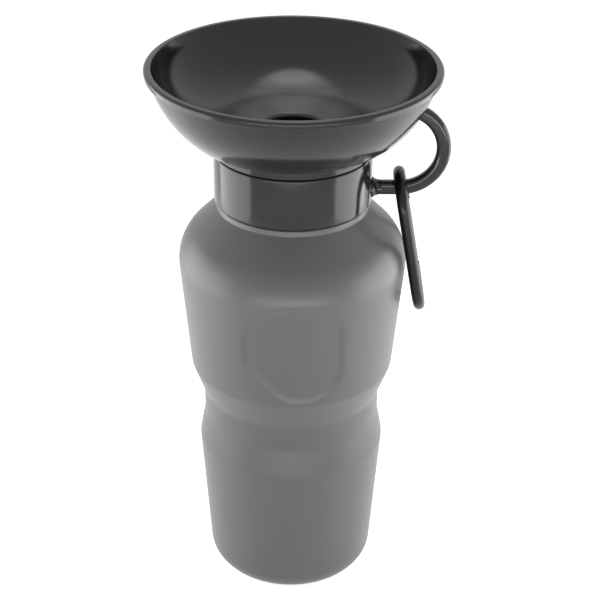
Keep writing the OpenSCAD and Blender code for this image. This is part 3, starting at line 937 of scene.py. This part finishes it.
@dataclass
class ScrewCollar:
    """The threaded collar, the boss on its side and the open carry loop.

    Sizes are in millimetres, angles in degrees, and heights are measured from the ground.

    Attributes:
        outer_r: outer radius of the collar.
        bore_r: radius inside, at the root of the thread.
        ledge_r: radius above the thread.
        mouth_r: radius of the mouth that the bowl's neck passes through.
        bottom: height of the lower edge.
        ledge: height at which the thread's bore ends.
        flange: height of the underside of the flange.
        top: height of the upper edge.
        edge_round: rounding of the outer edges.
        bore_round: rounding of the bore's lower edge.
        mouth_round: rounding of the mouth's upper edge.
        thread_lift: from the lower edge up to the start of the thread.
        thread_turn: where it starts, in turns from +X.
        thread_clear: height under the ledge that stays free of it.
        thread_step: height of a face on the thread.
        plain_step: height of a face elsewhere.
        columns: columns of faces round the collar.
        boss_r: radius of the boss.
        boss_root: distance from the axis at which the boss starts, inside the collar's wall.
        boss_shoulder: distance at which it starts to taper.
        boss_edge: rounding of its edges.
        stem_r: radius of its stem.
        stem_root: distance at which the taper has become the stem.
        stem_round: rounding between the taper and the stem.
        stem_z: height of the stem's centre line.
        boss_end: distance from the axis at which the round stem ends.
        boss_step: length of a face on the boss.
        boss_columns: columns of faces round it.
        stem_l: length of the flat stem between the round one and the loop's arc.
        stem_overlap: how far the flat stem starts inside the round one.
        loop_r: radius of the loop's centre line.
        loop_t: thickness of the loop, measured in its plane.
        loop_w: width of the loop, measured across its plane.
        loop_round: rounding of its section.
        section_step: width of a face round the section.
        stem_rows: rows of faces along the flat stem.
        arc_rows: rows along the arc.
        meeting_angles: where on its arc the loop may meet the bowl.
        meeting_tries: how many angles between them are tried.
        end_draw: how far the loop's last row but one draws in towards the end's middle.
        wall_gap: gap between the loop's end and the bowl's wall.
    """

    outer_r: float = 30.8
    bore_r: float = 28.3
    ledge_r: float = 27.7
    mouth_r: float = 26.3
    bottom: float = 170.7
    ledge: float = 184.1
    flange: float = 189.3
    top: float = 191.3
    edge_round: float = 0.8
    bore_round: float = 0.4
    mouth_round: float = 0.6
    thread_lift: float = 2.5
    thread_turn: float = 0.5
    thread_clear: float = 1.0
    thread_step: float = 0.3
    plain_step: float = 4.0
    columns: int = 192
    boss_r: float = 4.2
    boss_root: float = 29.55
    boss_shoulder: float = 31.0
    boss_edge: float = 0.3
    stem_r: float = 2.95
    stem_root: float = 32.51
    stem_round: float = 4.0
    stem_z: float = 175.0
    boss_end: float = 34.6
    boss_step: float = 0.5
    boss_columns: int = 48
    stem_l: float = 7.0
    stem_overlap: float = 0.4
    loop_r: float = 16.4
    loop_t: float = 5.6
    loop_w: float = 4.6
    loop_round: float = 1.8
    section_step: float = 0.5
    stem_rows: int = 12
    arc_rows: int = 120
    meeting_angles: tuple[float, float] = (40.0, 95.0)
    meeting_tries: int = 800
    end_draw: float = 0.12
    wall_gap: float = 0.3

    @property
    def loop_middle(self) -> tuple[float, float]:
        """Returns how far out and how high the middle of the loop's arc is."""
        return self.boss_end + self.stem_l, self.stem_z + self.loop_r

    def collar_grid(self) -> Array:
        """Turns the collar's section round +Z and raises the thread on its bore.

        Returns:
            The points, rows along the section by columns round the axis.
        """
        section = [
            (self.bore_r, self.bottom, self.bore_round),
            (self.outer_r, self.bottom, self.edge_round),
            (self.outer_r, self.top, self.edge_round),
            (self.mouth_r, self.top, self.mouth_round),
            (self.mouth_r, self.flange, 0.0),
            (self.ledge_r, self.flange, 0.0),
            (self.ledge_r, self.ledge, 0.0),
            (self.bore_r, self.ledge, 0.0),
        ]
        line = rounded(section, closed=True)
        after = np.roll(line, -1, axis=0)
        in_bore = np.maximum(line[:, 0], after[:, 0]) < self.bore_r + TOUCH
        on_thread = in_bore & (np.minimum(line[:, 1], after[:, 1]) < self.ledge)
        line = refine(line, np.where(on_thread, self.thread_step, self.plain_step), closed=True)
        grid = revolve(line, even_angles(self.columns))
        on_bore = np.abs(axis_distance(grid) - self.bore_r) < TOUCH
        threaded = on_bore & (grid[..., 2] < self.ledge - self.thread_clear)
        thread = Thread(self.bottom + self.thread_lift, self.thread_turn)
        return push_out(grid, -np.where(threaded, thread.height(grid), 0.0))

    def boss_grid(self) -> Array:
        """Turns the boss's outline round +Z, then lays it along +X.

        Returns:
            The points, rows along the boss by columns round it.
        """
        outline = [
            (0.0, self.boss_root, 0.0),
            (self.boss_r, self.boss_root, self.boss_edge),
            (self.boss_r, self.boss_shoulder, self.boss_edge),
            (self.stem_r, self.stem_root, self.stem_round),
            (self.stem_r, self.boss_end, self.boss_edge),
            (0.0, self.boss_end, 0.0),
        ]
        line = refine(rounded(outline, closed=False), self.boss_step, closed=False)
        turned = revolve(line, even_angles(self.boss_columns))
        return np.roll(turned, 1, axis=-1) + np.array([0.0, 0.0, self.stem_z])

    def build_collar(self) -> None:
        """Builds and dresses the collar with its boss."""
        skin = Skin()
        skin.add_grid(self.collar_grid(), wrap_rows=True, wrap_columns=True)
        skin.add_grid(self.boss_grid(), wrap_rows=False, wrap_columns=True)
        fit_skin("screw_collar", skin, BLACK_LID, Fitting("collar", "lid", ("collar",)))

    def section(self) -> Array:
        """Draws the loop's section, a rounded rectangle.

        Returns:
            Its points, across the loop's plane by through its thickness.
        """
        t, w, r = self.loop_t / 2, self.loop_w / 2, self.loop_round
        line = rounded([(w, -t, r), (w, t, r), (-w, t, r), (-w, -t, r)], closed=True)
        return refine(line, self.section_step, closed=True)

    def end_angle(self, across: Array, out: Array, bowl: "DrinkingBowl") -> Array:
        """Finds where each line of the loop meets the bowl's wall, a gap away from it.

        Along a line at distance out from the centre line the point at angle f is
        (middle_x + (R + out) cos f, across, middle_z + (R + out) sin f). The first meeting angle
        at which its distance from the bottle's axis is less than the wall's radius plus the gap
        is the one.

        Args:
            across: place of each line across the loop's plane.
            out: its place outwards from the centre line.
            bowl: the bowl.

        Returns:
            The angle at which each line ends, in radians.
        """
        middle_x, middle_z = self.loop_middle
        f = np.radians(np.linspace(*self.meeting_angles, self.meeting_tries))[:, None]
        x = middle_x + (self.loop_r + out) * np.cos(f)
        z = middle_z + (self.loop_r + out) * np.sin(f)
        line = bowl.wall_line()
        wall = np.interp(z, line[:, 1], line[:, 0], left=0.0)
        slope = np.gradient(line[:, 0], line[:, 1])
        lean = np.interp(z, line[:, 1], np.hypot(1.0, slope))
        hit = np.hypot(x, across) < wall + self.wall_gap * lean
        return f[np.argmax(hit, axis=0), 0]

    def loop_grid(self, bowl: "DrinkingBowl") -> Array:
        """Carries the loop's section along the stem, then round the arc to the bowl.

        Each line of the section runs straight to the start of the arc and then turns from -90
        degrees to its own end angle. One more row, drawn in a little, eases the edge of the end.

        Args:
            bowl: the bowl, whose wall the loop's end follows.

        Returns:
            The points, rows along the loop by columns round it.
        """
        section = self.section()
        across, out = section[:, 0], -section[:, 1]
        middle_x, middle_z = self.loop_middle
        start = self.boss_end - self.stem_overlap
        x = np.linspace(start, middle_x, self.stem_rows, endpoint=False)[:, None]
        stem = np.stack([x + 0 * out, across + 0 * x, self.stem_z - out + 0 * x], axis=-1)
        s = np.linspace(0.0, 1.0, self.arc_rows)[:, None]
        f = s * (self.end_angle(across, out, bowl) + TURN / 4) - TURN / 4
        reach = self.loop_r + out
        x, z = middle_x + reach * np.cos(f), middle_z + reach * np.sin(f)
        arc = np.stack([x, across + 0 * f, z], axis=-1)
        end, step = arc[-1:], (arc[-1:] - arc[-2:-1]) / 2
        eased = end + (pole(end) - end) * self.end_draw + step
        return np.concatenate([pole(stem[:1]), stem, arc, eased, pole(end)])[:, ::-1]

    def build_loop(self, bowl: "DrinkingBowl") -> None:
        """Builds and dresses the carry loop.

        Args:
            bowl: the bowl that the loop ends under.
        """
        skin = Skin()
        skin.add_grid(self.loop_grid(bowl), wrap_rows=False, wrap_columns=True)
        on_collar = Fitting("collar", "lid", ("carry_loop",))
        fit_skin("carry_loop_piece", skin, BLACK_LID, on_collar, sharp=50.0)


# ---------------------------------------------------------------- the bowl


@dataclass
class DrinkingBowl:
    """The bowl that the dog drinks from, with its neck and the drain well.

    Sizes are in millimetres, and heights are measured from the ground.

    Attributes:
        neck_r: outer radius of the bowl's neck.
        neck_bore: inner radius of the neck.
        neck_foot: height of its lower end.
        neck_round: rounding of that end.
        skirt_r: radius of the skirt that stands on the collar.
        skirt_foot: height of the skirt's lower edge.
        skirt_edge: rounding of that edge.
        underside: height at which the skirt meets the bowl.
        underside_round: rounding there.
        turn_r: radius at which the underside turns up into the wall.
        turn_rise: how far it has risen there.
        turn_round: rounding of that turn.
        middle_r: radius of the wall's corner halfway up.
        middle_z: height of that corner.
        middle_round: rounding of the wall outside.
        rim_r: radius of the rim.
        rim_z: height of the rim.
        rim_round: rounding of the rim's outer edge.
        rim_inner_round: rounding of its inner edge.
        lip_w: width of the band that thickens the rim.
        lip_h: height of that band.
        lip_step: how far it stands out from the wall.
        lip_chamfer: size of the chamfer on its lower edge.
        lip_round: rounding of that edge.
        lip_foot_round: rounding between the band and the wall.
        lip_lean: how much further in the wall is than the band, inside.
        lip_fade: height over which the band runs out into the wall, inside.
        lip_fade_round: rounding there.
        wall: thickness of the wall.
        inner_middle: the inside's corner halfway up, inwards and upwards of the outside's, in
            walls, and its rounding in millimetres.
        floor_in: how far inside the outer turn the floor starts to rise.
        floor_round: rounding of the floor's edge.
        floor_rise: how far the floor has risen there, from the drain.
        drain_r: radius of the drain.
        drain_flare: how much wider it is at its upper edge.
        drain_taper: how much narrower it is at the well's floor.
        drain_round: rounding of its edge.
        well_z: height of the well's underside.
        well_wall: thickness of the well's side.
        well_floor: thickness of its floor at the seat.
        well_slope: how much higher the floor is at the well's side.
        well_round: rounding between its floor and its side, and at the top of its outer side.
        well_edge: rounding of its lower edge.
        seat_r: radius of the hole that the plug seats in.
        seat_round: rounding of the seat.
        seat_foot_round: rounding of the hole's lower edge.
        roof_at_well: height above the underside of the floor's lower face, next to the well.
        roof_at_neck: the same next to the neck's bore.
        roof_round: rounding there.
        gland_r: radius of the groove for the sealing ring.
        gland_z: height of that ring's underside.
        gland_play: the groove's clearance above and below it.
        ring_d: thickness of the sealing ring.
        columns: columns of faces round the bowl.
        line_step: spacing of the points that the loop's end is fitted to.
        outline_step: length of a face along the section.
        arc_step: largest turn between two faces of a rounding, in degrees.
    """

    neck_r: float = 26.0
    neck_bore: float = 24.0
    neck_foot: float = 185.8
    neck_round: float = 0.3
    skirt_r: float = 30.8
    skirt_foot: float = 191.6
    skirt_edge: float = 0.4
    underside: float = 196.2
    underside_round: float = 1.6
    turn_r: float = 39.0
    turn_rise: float = 1.7
    turn_round: float = 6.0
    middle_r: float = 50.5
    middle_z: float = 208.3
    middle_round: float = 43.0
    rim_r: float = 56.5
    rim_z: float = 225.2
    rim_round: float = 1.1
    rim_inner_round: float = 0.5
    lip_w: float = 2.8
    lip_h: float = 2.6
    lip_step: float = 1.7
    lip_chamfer: float = 0.2
    lip_round: float = 0.3
    lip_foot_round: float = 1.0
    lip_lean: float = 1.9
    lip_fade: float = 1.2
    lip_fade_round: float = 2.0
    wall: float = 2.2
    inner_middle: Corner = (0.32, 2.2, 30.0)
    floor_in: float = 3.0
    floor_round: float = 50.0
    floor_rise: float = 3.9
    drain_r: float = 12.0
    drain_flare: float = 0.2
    drain_taper: float = 0.4
    drain_round: float = 1.6
    well_z: float = 189.6
    well_wall: float = 2.0
    well_floor: float = 1.6
    well_slope: float = 0.3
    well_round: float = 1.0
    well_edge: float = 0.8
    seat_r: float = 7.4
    seat_round: float = 0.4
    seat_foot_round: float = 0.3
    roof_at_well: float = 0.4
    roof_at_neck: float = 0.8
    roof_round: float = 1.2
    gland_r: float = 25.05
    gland_z: float = 186.8
    gland_play: float = 0.1
    ring_d: float = 1.7
    columns: int = 184
    line_step: float = 0.3
    outline_step: float = 2.0
    arc_step: float = 3.0

    @property
    def lip_z(self) -> float:
        """Returns the height of the rim band's lower edge."""
        return self.rim_z - self.lip_h

    def wall_corners(self) -> list[Corner]:
        """Lists the outer wall.

        Returns:
            Its corners, from the underside's turn to the rim's band.
        """
        return [
            (self.turn_r, self.underside + self.turn_rise, self.turn_round),
            (self.middle_r, self.middle_z, self.middle_round),
            (self.rim_r - self.lip_step, self.lip_z - self.lip_chamfer, self.lip_foot_round),
        ]

    def wall_line(self) -> Array:
        """Draws the outer wall alone, for the loop's end to follow.

        Returns:
            Its points, by rising height.
        """
        start, end = (self.skirt_r, self.underside, 0.0), (self.rim_r, self.lip_z, 0.0)
        line = rounded([start, *self.wall_corners(), end], closed=False)
        return refine(line, self.line_step, closed=False)

    def under_and_wall(self) -> list[Corner]:
        """Lists the outside.

        Returns:
            Its corners: up the neck and the skirt, then out and up to the rim.
        """
        return [
            (self.neck_bore, self.neck_foot, self.neck_round),
            (self.neck_r, self.neck_foot, self.neck_round),
            (self.neck_r, self.skirt_foot, 0.0),
            (self.skirt_r, self.skirt_foot, self.skirt_edge),
            (self.skirt_r, self.underside, self.underside_round),
            *self.wall_corners(),
            (self.rim_r - self.lip_chamfer, self.lip_z, self.lip_round),
            (self.rim_r, self.rim_z, self.rim_round),
        ]

    def inside_and_well(self) -> list[Corner]:
        """Lists the inside and the well under the drain.

        Returns:
            Their corners: down the wall to the floor, through the drain and up the well's outside.
        """
        drain_z = self.underside + self.turn_rise + self.wall
        seat_z = self.well_z + self.well_floor
        well_r = self.drain_r + self.well_wall
        inwards, upwards, middle_round = self.inner_middle
        return [
            (self.rim_r - self.lip_w, self.rim_z, self.rim_inner_round),
            (self.rim_r - self.lip_lean - self.wall, self.lip_z - self.lip_fade, self.lip_fade_round),
            (self.middle_r - inwards * self.wall, self.middle_z + upwards * self.wall, middle_round),
            (self.turn_r - self.floor_in, drain_z + self.floor_rise, self.floor_round),
            (self.drain_r + self.drain_flare, drain_z, self.drain_round),
            (self.drain_r - self.drain_taper, seat_z + self.well_slope, self.well_round),
            (self.seat_r, seat_z, self.seat_round),
            (self.seat_r, self.well_z, self.seat_foot_round),
            (well_r, self.well_z, self.well_edge),
            (well_r, self.underside + self.roof_at_well, self.well_round),
        ]

    def back_under(self) -> list[Corner]:
        """Lists the floor's lower face and the neck's bore with its groove.

        Returns:
            Their corners, from the well down to the neck's foot.
        """
        gland_foot = self.gland_z - self.gland_play
        gland_top = self.gland_z + self.ring_d + self.gland_play
        return [
            (self.neck_bore, self.underside + self.roof_at_neck, self.roof_round),
            (self.neck_bore, gland_top, 0.0),
            (self.gland_r, gland_top, 0.0),
            (self.gland_r, gland_foot, 0.0),
            (self.neck_bore, gland_foot, 0.0),
        ]

    def outline(self) -> Array:
        """Returns the bowl's whole closed section."""
        corners = self.under_and_wall() + self.inside_and_well() + self.back_under()
        return refine(rounded(corners, True, self.arc_step), self.outline_step, closed=True)

    def build(self) -> None:
        """Builds and dresses the bowl."""
        skin = Skin()
        grid = revolve(self.outline(), even_angles(self.columns))
        skin.add_grid(grid, wrap_rows=True, wrap_columns=True)
        fit_skin("drinking_bowl", skin, BLACK_LID, Fitting("bowl", "lid", ("bowl",)))

    def dress_seals(self, nodes: dict[str, bpy.types.Object]) -> None:
        """Dresses the ring that holds the bowl down and the sealing ring in its neck."""
        fit_copy(nodes, "bowl_retainer", GREY_INSERT, "bowl", "insert")
        fit_copy(nodes, "bowl_o_ring", PALE_SILICONE, "bowl_seal", "silicone")


# ---------------------------------------------------------------- the valve


@dataclass
class DrainValve:
    """The insert that closes the neck, with its plug, gasket and dip tube.

    Attributes:
        body: the body that all but the gasket ride on.
    """

    body: str = "insert"

    def dress(self, nodes: dict[str, bpy.types.Object]) -> None:
        """Dresses the valve's parts, whose shapes are the CAD's own.

        Args:
            nodes: the CAD nodes by name.
        """
        fit_copy(nodes, "valve_insert", GREY_INSERT, self.body, "insert")
        fit_copy(nodes, "valve_plug", BLACK_SILICONE, self.body, "plug")
        fit_copy(nodes, "dip_tube", MILKY_TUBE, self.body, "tube")
        fit_copy(nodes, "neck_gasket", PALE_SILICONE, "neck_seal", "silicone")


# ---------------------------------------------------------------- the ring


@dataclass
class GateRing:
    """The long ring with its sprung gate, which hangs on the loop's stem.

    Sizes are in millimetres and angles in degrees. Places along the ring run down from its top.

    Attributes:
        top: middle of the ring's top end.
        lean: how far the ring leans outwards at its foot.
        yaw: how far it is turned about its own length.
        gate_offset: from the ring's middle line across to its gate.
        spring_top: place of the spring's upper end along the ring.
        spring_l: length of the spring.
        spring_r: radius of its coil.
        wire_r: radius of its wire.
        coils: how many coils it has.
        rows_a_coil: rows of faces in one coil.
        wire_columns: columns of faces round the wire.
    """

    top: Place = (41.2, 0.0, 180.538)
    lean: float = 10.3
    yaw: float = 1.0
    gate_offset: float = 11.5
    spring_top: float = -19.5
    spring_l: float = 7.0
    spring_r: float = 0.83
    wire_r: float = 0.15
    coils: int = 9
    rows_a_coil: int = 20
    wire_columns: int = 8

    def place(self, local: Array) -> Array:
        """Takes points from the ring's own axes to the model's.

        Args:
            local: the points, x across the ring, y along it and z through it.

        Returns:
            The same points in the model.
        """
        a, b = math.radians(self.lean), math.radians(self.yaw)
        side = np.array([0.0, 1.0, 0.0])
        out = np.array([math.cos(a), 0.0, math.sin(a)])
        across = math.cos(b) * side + math.sin(b) * out
        through = math.cos(b) * out - math.sin(b) * side
        along = np.array([-math.sin(a), 0.0, math.cos(a)])
        return np.array(self.top) + local @ np.stack([across, along, through])

    def spring_grid(self) -> Array:
        """Winds a round wire on a helix.

        The centre at turn t is (r cos 2pi t, -pitch t, r sin 2pi t), and the wire's circle is
        drawn on the radial direction and the gate's own direction.

        Returns:
            The points, rows along the wire by columns round it.
        """
        t = np.linspace(0.0, self.coils, self.coils * self.rows_a_coil + 1)[:, None]
        a = even_angles(self.wire_columns)[None, :]
        pitch = (self.spring_l - 2 * self.wire_r) / self.coils
        reach = self.spring_r + self.wire_r * np.cos(a)
        x = self.gate_offset + reach * np.cos(TURN * t)
        y = self.spring_top - self.wire_r - pitch * t + self.wire_r * np.sin(a)
        wire = np.stack([x, y, reach * np.sin(TURN * t)], axis=-1)
        return np.concatenate([pole(wire[:1]), wire, pole(wire[-1:])])

    def build(self, nodes: dict[str, bpy.types.Object]) -> None:
        """Dresses the ring's parts and winds the gate's spring.

        Args:
            nodes: the CAD nodes by name.
        """
        fit_copy(nodes, "ring_frame", BLACK_ANODISED, "ring", "ring")
        fit_copy(nodes, "ring_gate", BLACK_ANODISED, "gate", "ring")
        for pin in ("gate_rivet", "latch_pin", "gate_plunger"):
            fit_copy(nodes, pin, BRIGHT_STEEL, "gate", "pins")
        skin = Skin()
        skin.add_grid(self.place(self.spring_grid()), wrap_rows=False, wrap_columns=True)
        in_gate = Fitting("gate", "pins", ("gate_spring",))
        fit_skin("gate_spring_wire", skin, BRIGHT_STEEL, in_gate, sharp=60.0)


# ---------------------------------------------------------------- the studio


@dataclass(frozen=True)
class Softbox:
    """A flat lamp, an ellipse where it is round. Places in metres, power in watts.

    Attributes:
        name: the lamp's name.
        position: place of its middle.
        aim: the place that it faces.
        size: its width and height.
        power: its power.
        is_round: whether it is an ellipse.
    """

    name: str
    position: Place
    aim: Place
    size: tuple[float, float]
    power: float
    is_round: bool = False

    def build(self) -> None:
        """Hangs the lamp and turns it towards its aim."""
        lamp = bpy.data.lights.new(self.name, "AREA")
        lamp.shape = "ELLIPSE" if self.is_round else "RECTANGLE"
        lamp.size, lamp.size_y = self.size
        lamp.energy = self.power
        holder = bpy.data.objects.new(self.name, lamp)
        holder.location = self.position
        aim = Vector(self.aim) - Vector(self.position)
        holder.rotation_euler = aim.to_track_quat("-Z", "Y").to_euler()
        bpy.context.scene.collection.objects.link(holder)


def any_of(tree: bpy.types.NodeTree, rays: Sequence[str]) -> bpy.types.NodeSocket:
    """Tells some kinds of ray from the rest.

    Args:
        tree: the nodes of a material or world.
        rays: Light Path's names for the kinds.

    Returns:
        A socket that is 1 for a ray of one of those kinds, and 0 for others.
    """
    path = tree.nodes.new("ShaderNodeLightPath")
    seen = path.outputs[rays[0]]
    for ray in rays[1:]:
        seen = maths(tree, "MAXIMUM", seen, path.outputs[ray])
    return seen


@dataclass
class Studio:
    """Camera, lamps, world and floor. Places are in metres and angles in degrees.

    Attributes:
        eye: place of the camera.
        tilt: its turn up from looking straight down.
        roll: its turn about its own axis.
        focal_px: its focal length, in pixels.
        image_px: width of the image, in pixels.
        side_px: how far the image's middle is shifted, in pixels.
        sensor: width of its sensor, in millimetres.
        near: how close to the camera things are still seen.
        fill: strength of the even light from all sides.
        floor_r: radius of the floor.
        floor_sides: number of its sides.
        floor_shade: its colour.
        floor_rough: its roughness.
        floor_glow: light of its own, which only the camera and gloss see.
        lamps: the lamps.
    """

    eye: Place = (0.0, -0.560, 0.4376)
    tilt: float = 60.76
    roll: float = 0.43
    focal_px: float = 1582.0
    image_px: int = 600
    side_px: float = 8.0
    sensor: float = 36.0
    near: float = 0.05
    fill: float = 0.22
    floor_r: float = 6.0
    floor_sides: int = 64
    floor_shade: Colour = (0.9, 0.9, 0.9)
    floor_rough: float = 0.9
    floor_glow: float = 0.8
    lamps: tuple[Softbox, ...] = (
        Softbox("left_box", (-0.32, 0.02, 0.12), (0.0, 0.02, 0.12), (0.4, 0.24), 0.85),
        Softbox("right_box", (0.32, 0.02, 0.12), (0.0, 0.02, 0.12), (0.4, 0.24), 0.95),
        Softbox("far_card", (0.0, -0.59, 0.004), (0.0, -0.55, 0.2), (1.0, 0.36), 9.5, is_round=True),
        Softbox("top_box", (0.0, 0.6, 1.25), (0.0, 0.0, 0.2), (0.4, 1.0), 0.6, is_round=True),
        Softbox("top_box_middle", (0.0, 0.45, 1.2), (0.0, 0.0, 0.2), (0.36, 0.6), 0.5, is_round=True),
        Softbox("top_box_core", (0.0, 0.38, 1.15), (0.0, 0.0, 0.2), (0.26, 0.36), 0.35, is_round=True),
    )

    def place_camera(self) -> None:
        """Sets the camera above the rim's height, looking down at the front."""
        camera = bpy.data.cameras.new("view")
        camera.sensor_width = self.sensor
        camera.lens = self.focal_px / self.image_px * self.sensor
        camera.shift_x = self.side_px / self.image_px
        camera.clip_start = self.near
        holder = bpy.data.objects.new("view", camera)
        tilt = Matrix.Rotation(math.radians(self.tilt), 4, "X")
        roll = Matrix.Rotation(math.radians(self.roll), 4, "Z")
        holder.matrix_world = Matrix.Translation(self.eye) @ tilt @ roll
        bpy.context.scene.collection.objects.link(holder)
        bpy.context.scene.camera = holder

    def light_world(self) -> None:
        """Lights the world with a plain fill, and shows camera, gloss and glass a white one."""
        world = bpy.data.worlds.new("white_room")
        world.use_nodes = True
        tree = world.node_tree
        tree.nodes.clear()
        seen = any_of(tree, ["Is Camera Ray", "Is Glossy Ray", "Is Transmission Ray"])
        fill = put(tree, "ShaderNodeBackground", Color=WHITE, Strength=self.fill)
        white = put(tree, "ShaderNodeBackground", Color=WHITE, Strength=1.0)
        mix = put(tree, "ShaderNodeMixShader", i0=seen, i1=fill.outputs[0], i2=white.outputs[0])
        put(tree, "ShaderNodeOutputWorld", Surface=mix.outputs[0])
        bpy.context.scene.world = world

    def floor_material(self) -> bpy.types.Material:
        """Builds a pale material with a glow that whitens it and leaves the shadow.

        Returns:
            The floor's material.
        """
        material = bpy.data.materials.new("pale_floor")
        material.use_nodes = True
        tree = material.node_tree
        shader = tree.nodes["Principled BSDF"]
        shader.inputs["Base Color"].default_value = (*self.floor_shade, 1.0)
        shader.inputs["Roughness"].default_value = self.floor_rough
        shader.inputs["Specular IOR Level"].default_value = 0.0
        seen = any_of(tree, ["Is Camera Ray", "Is Glossy Ray"])
        glow = put(tree, "ShaderNodeEmission", Color=WHITE, Strength=self.floor_glow)
        lit = put(tree, "ShaderNodeAddShader", i0=shader.outputs[0], i1=glow.outputs[0])
        show = put(tree, "ShaderNodeMixShader", i0=seen, i1=shader.outputs[0], i2=lit.outputs[0])
        tree.links.new(show.outputs[0], tree.nodes["Material Output"].inputs["Surface"])
        return material

    def lay_floor(self) -> None:
        """Lays a round pale floor under the bottle."""
        mesh = bpy.data.meshes.new("floor")
        work = bmesh.new()
        bmesh.ops.create_circle(work, cap_ends=True, radius=self.floor_r, segments=self.floor_sides)
        work.to_mesh(mesh)
        work.free()
        mesh.materials.append(self.floor_material())
        floor = bpy.data.objects.new("floor", mesh)
        bpy.context.scene.collection.objects.link(floor)

    def build(self) -> None:
        """Sets the whole studio up."""
        self.place_camera()
        self.light_world()
        self.lay_floor()
        for lamp in self.lamps:
            lamp.build()
        bpy.context.scene.view_settings.view_transform = "Standard"


def main() -> None:
    logging.basicConfig(level=logging.INFO, format="%(name)s: %(message)s")
    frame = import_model()
    nodes = frame["nodes"]
    Studio().build()
    bowl = DrinkingBowl()
    collar = ScrewCollar()
    SqueezeBottle().build()
    collar.build_collar()
    collar.build_loop(bowl)
    bowl.build()
    bowl.dress_seals(nodes)
    DrainValve().dress(nodes)
    GateRing().build(nodes)


if __name__ == "__main__":
    main()
